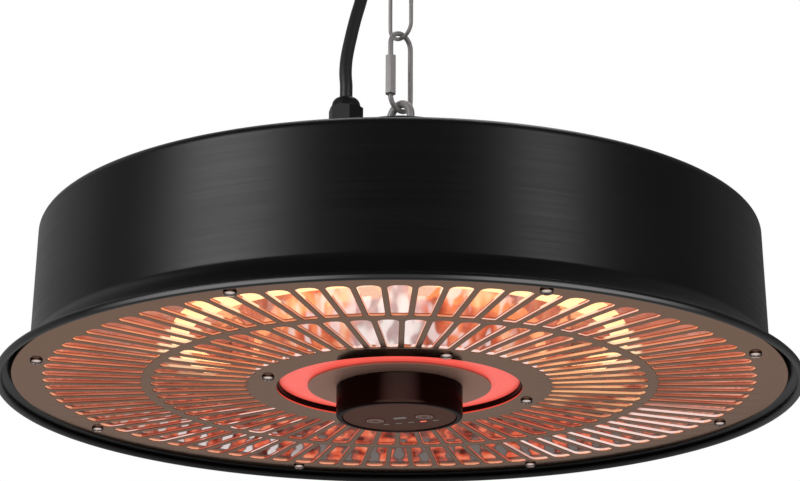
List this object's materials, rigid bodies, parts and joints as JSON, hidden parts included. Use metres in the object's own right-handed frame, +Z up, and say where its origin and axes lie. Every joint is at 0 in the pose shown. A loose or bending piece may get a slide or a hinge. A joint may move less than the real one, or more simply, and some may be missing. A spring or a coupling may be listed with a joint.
{
  "type": "hanging patio heater",
  "caption": "Round black patio heater that hangs on a chain: ring lamp behind a slotted copper-coloured grille, red light ring, and a control hub with keys below",
  "frame": {"origin": "middle of the ceiling plate's upper face, on the axis that everything hangs on", "axes": "+Z up, out of the ceiling plate's upper face; -Y is the side that the picture was taken from"},
  "size_m": [0.4248, 0.4248, 0.393],
  "materials": {
    "black_paint": "satin black powder coat",
    "copper_mirror": "polished, copper tinted",
    "bright_steel": "polished steel",
    "galvanised_steel": "zinc plated, dull",
    "polished_aluminium": "polished",
    "quartz": "clear, glowing orange",
    "hot_wire": "glowing",
    "ceramic": "matt ceramic",
    "red_diffuser": "satin, lit from behind",
    "black_gloss": "gloss",
    "panel_brown": "satin gloss",
    "dark_lens": "smoked clear",
    "black_plastic": "satin",
    "black_rubber": "matt",
    "circuit_board": "satin",
    "white_plastic": "matt"
  },
  "bodies": {
    "ceiling_mount": {"ceiling_plate": "galvanised_steel", "ceiling_hook": "galvanised_steel", "ceiling_screw_1": "galvanised_steel", "ceiling_screw_2": "galvanised_steel", "cord_coil": "black_rubber", "cord_tail": "black_rubber", "cord_tie": "black_rubber", "plug_body": "black_rubber", "plug_pins": "bright_steel"},
    "chain_link": {"chain_link": "bright_steel"},
    "quick_link": {"quick_link": "bright_steel"},
    "quick_link_sleeve": {"quick_link_sleeve": "bright_steel"},
    "heater": {"mains_cord": "black_rubber", "eye_bolt": "bright_steel", "eye_washer": "galvanised_steel", "eye_nut": "galvanised_steel", "drum_housing": "black_paint", "ledge_ring": "galvanised_steel", "grille_plate": "copper_mirror", "grille_screw_1": "bright_steel", "grille_screw_2": "bright_steel", "grille_screw_3": "bright_steel", "grille_screw_4": "bright_steel", "grille_screw_5": "bright_steel", "grille_screw_6": "bright_steel", "grille_screw_7": "bright_steel", "grille_screw_8": "bright_steel", "carrier_screw_1": "bright_steel", "carrier_screw_2": "bright_steel", "carrier_screw_3": "bright_steel", "carrier_screw_4": "bright_steel", "reflector": "polished_aluminium", "quartz_tube": "quartz", "filament": "hot_wire", "lamp_holder": "ceramic", "heat_shield": "galvanised_steel", "cross_bracket": "galvanised_steel", "light_ring_carrier": "black_plastic", "light_ring": "red_diffuser", "light_ring_board": "white_plastic", "hub_disc": "copper_mirror", "hub_housing": "black_gloss", "control_panel": "panel_brown", "infrared_window": "dark_lens", "indicator_lens": "dark_lens", "control_board": "circuit_board", "hub_stem": "galvanised_steel", "stem_nut": "galvanised_steel", "power_board": "circuit_board", "board_carrier": "white_plastic", "terminal_block": "white_plastic", "thermal_cutout": "black_plastic", "inner_lead": "black_rubber", "gland_seal": "black_rubber", "gland_body": "black_plastic", "gland_nut": "black_plastic", "gland_sleeve": "black_rubber", "gland_locknut": "black_plastic"},
    "power_key": {"power_key": "panel_brown"},
    "mode_key": {"mode_key": "panel_brown"}
  },
  "joints": [
    {"name": "chain_link_swing", "type": "hinge", "parent": "ceiling_mount", "child": "chain_link", "pos_m": [0, 0, -0.119], "axis": [0.7071, 0.7071, 0], "range_deg": [-25, 25]},
    {"name": "quick_link_swing", "type": "hinge", "parent": "chain_link", "child": "quick_link", "pos_m": [0, 0, -0.1551], "axis": [0.7071, -0.7071, 0], "range_deg": [-25, 25]},
    {"name": "heater_swing", "type": "hinge", "parent": "quick_link", "child": "heater", "pos_m": [0, 0, -0.1982], "axis": [0.7071, 0.7071, 0], "range_deg": [-25, 25], "deforming": ["mains_cord"]},
    {"name": "sleeve_slide", "type": "slide", "parent": "quick_link", "child": "quick_link_sleeve", "axis": [0, 0, 1], "range_m": [0, 0.007]},
    {"name": "power_press", "type": "slide", "parent": "heater", "child": "power_key", "axis": [0, 0, 1], "range_m": [0, 0.0006], "stiffness_N_per_m": 800, "springref_m": -0.001},
    {"name": "mode_press", "type": "slide", "parent": "heater", "child": "mode_key", "axis": [0, 0, 1], "range_m": [0, 0.0006], "stiffness_N_per_m": 800, "springref_m": -0.001}
  ]
}
